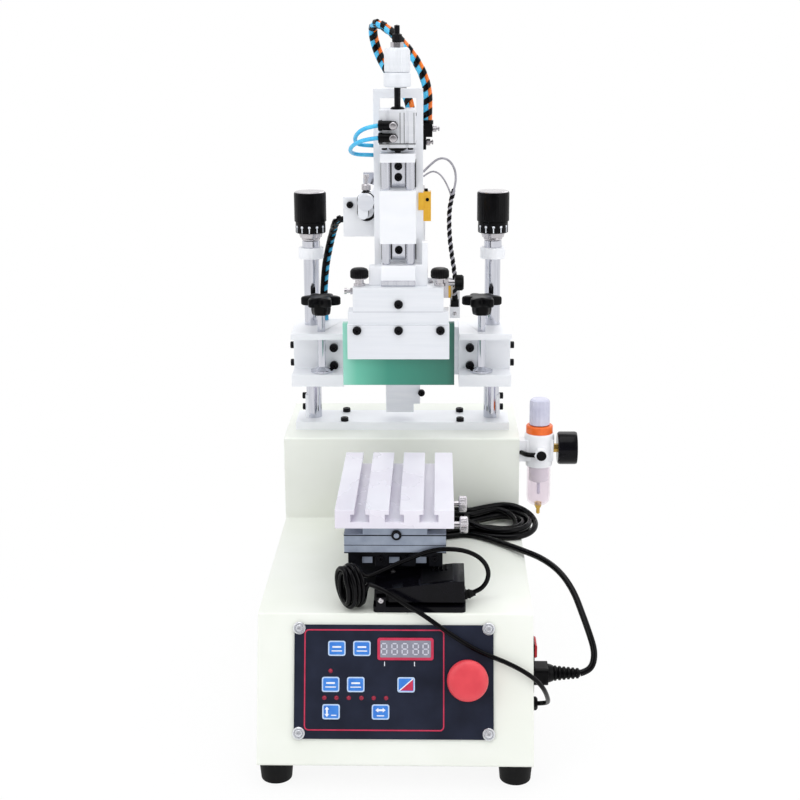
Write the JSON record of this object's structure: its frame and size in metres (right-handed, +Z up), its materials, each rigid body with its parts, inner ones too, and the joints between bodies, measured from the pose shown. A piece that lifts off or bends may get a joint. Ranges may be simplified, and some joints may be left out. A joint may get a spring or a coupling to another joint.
{
  "type": "flatbed screen printing machine",
  "caption": "Benchtop flatbed screen printer: cabinet with control panel, T-slot table on a stage, twin columns with a crosshead, air-driven print head with squeegee, foot pedal.",
  "frame": {"origin": "on the floor plane in the middle of the four rubber feet", "axes": "+X to the operator's right, +Y from the operator to the back of the machine, +Z up along the columns"},
  "size_m": [0.3017, 0.4556, 0.6461],
  "materials": {
    "cream_paint": "satin",
    "black_rubber": "matte",
    "panel_navy": "satin",
    "key_blue": "satin",
    "black_plastic": "satin",
    "cord_black": "satin",
    "aluminium": "brushed",
    "steel": "polished",
    "white_plastic": "satin",
    "stage_steel": "satin",
    "stage_black": "matte",
    "clear_bowl": "clear",
    "stop_red": "satin",
    "switch_red": "gloss",
    "tube_blue": "gloss",
    "sensor_yellow": "satin",
    "hose_sleeve": "satin",
    "grey_plastic": "satin",
    "squeegee_green": "satin"
  },
  "bodies": {
    "machine": {"cabinet": "cream_paint", "rubber_feet": "black_rubber", "control_panel": "panel_navy", "panel_keys": "key_blue", "power_inlet": "black_plastic", "iec_plug": "cord_black", "cable_gland": "black_plastic", "column_plate": "aluminium", "columns": "steel", "column_collars": "white_plastic", "stage_top": "stage_steel", "stage_base": "stage_black", "table_knobs": "steel", "pedal_base": "black_plastic", "air_body": "white_plastic", "air_bowl": "clear_bowl", "air_gauge": "black_plastic", "pedal_hank": "cord_black", "power_hank": "cord_black", "mains_plug": "cord_black", "pedal_cord_loop": "cord_black", "pedal_cord_tail": "cord_black", "power_cord": "cord_black", "filter_tube": "cord_black"},
    "emergency_stop": {"emergency_stop_button": "stop_red"},
    "rocker": {"power_rocker": "switch_red"},
    "height_knob_left": {"height_knob_left": "black_plastic"},
    "height_knob_right": {"height_knob_right": "black_plastic"},
    "crosshead": {"frame_clamp_left": "aluminium", "frame_clamp_right": "aluminium", "cross_beam": "aluminium", "slide_housing": "aluminium", "stroke_cylinder": "aluminium", "left_hose": "tube_blue"},
    "clamp_left": {"clamp_spindle_left": "steel", "star_knob_left": "black_plastic"},
    "clamp_right": {"clamp_spindle_right": "steel", "star_knob_right": "black_plastic"},
    "carriage": {"stroke_rods": "steel", "head_plate": "aluminium", "bearing_cover": "aluminium", "lift_cylinder": "aluminium", "air_fittings": "black_plastic", "sensors": "sensor_yellow", "top_hose": "hose_sleeve", "sensor_lead": "grey_plastic", "air_tube_a": "tube_blue", "air_tube_b": "tube_blue"},
    "squeegee": {"top_plate": "aluminium", "guide_rods": "steel", "lower_block": "aluminium", "squeegee_bar": "aluminium", "squeegee_blade": "squeegee_green", "thumb_knobs": "black_plastic"},
    "stop_knob": {"stop_knob": "aluminium"},
    "table": {"t_slot_table": "aluminium"},
    "treadle": {"pedal_treadle": "black_plastic"},
    "regulator_knob": {"air_knob": "grey_plastic"}
  },
  "joints": [
    {"name": "crosshead_height", "type": "slide", "parent": "machine", "child": "crosshead", "axis": [0, 0, 1], "range_m": [0, 0.03]},
    {"name": "print_stroke", "type": "slide", "parent": "crosshead", "child": "carriage", "axis": [0, -1, 0], "range_m": [0, 0.065]},
    {"name": "squeegee_lift", "type": "slide", "parent": "carriage", "child": "squeegee", "axis": [0, 0, -1], "range_m": [0, 0.015]},
    {"name": "stop_knob_turn", "type": "hinge", "parent": "squeegee", "child": "stop_knob", "pos_m": [-0.0012, 0.043, 0.6], "axis": [0, 0, 1], "continuous": true},
    {"name": "clamp_left_screw", "type": "slide", "parent": "crosshead", "child": "clamp_left", "axis": [0, 0, 1], "range_m": [0, 0.015]},
    {"name": "clamp_right_screw", "type": "slide", "parent": "crosshead", "child": "clamp_right", "axis": [0, 0, 1], "range_m": [0, 0.015]},
    {"name": "height_knob_left_turn", "type": "hinge", "parent": "machine", "child": "height_knob_left", "pos_m": [-0.0928, 0.1308, 0.44], "axis": [0, 0, 1], "continuous": true},
    {"name": "height_knob_right_turn", "type": "hinge", "parent": "machine", "child": "height_knob_right", "pos_m": [0.0928, 0.1308, 0.44], "axis": [0, 0, 1], "continuous": true},
    {"name": "table_slide", "type": "slide", "parent": "machine", "child": "table", "axis": [0, 1, 0], "range_m": [-0.01, 0.01]},
    {"name": "emergency_stop_press", "type": "slide", "parent": "machine", "child": "emergency_stop", "axis": [0, 0.9427, -0.3337], "range_m": [0, 0.004], "stiffness_N_per_m": 2500},
    {"name": "power_rocker_tilt", "type": "hinge", "parent": "machine", "child": "rocker", "pos_m": [0.1212, -0.14, 0.1014], "axis": [0, 1, 0], "range_deg": [-6, 6]},
    {"name": "pedal_press", "type": "hinge", "parent": "machine", "child": "treadle", "pos_m": [-0.0126, -0.144, 0.1573], "axis": [0, 1, 0], "range_deg": [0, 2], "stiffness_Nm_per_rad": 4, "springref_deg": -2.86},
    {"name": "regulator_knob_turn", "type": "hinge", "parent": "machine", "child": "regulator_knob", "pos_m": [0.1405, 0.085, 0.255], "axis": [0, 0, 1], "continuous": true}
  ]
}
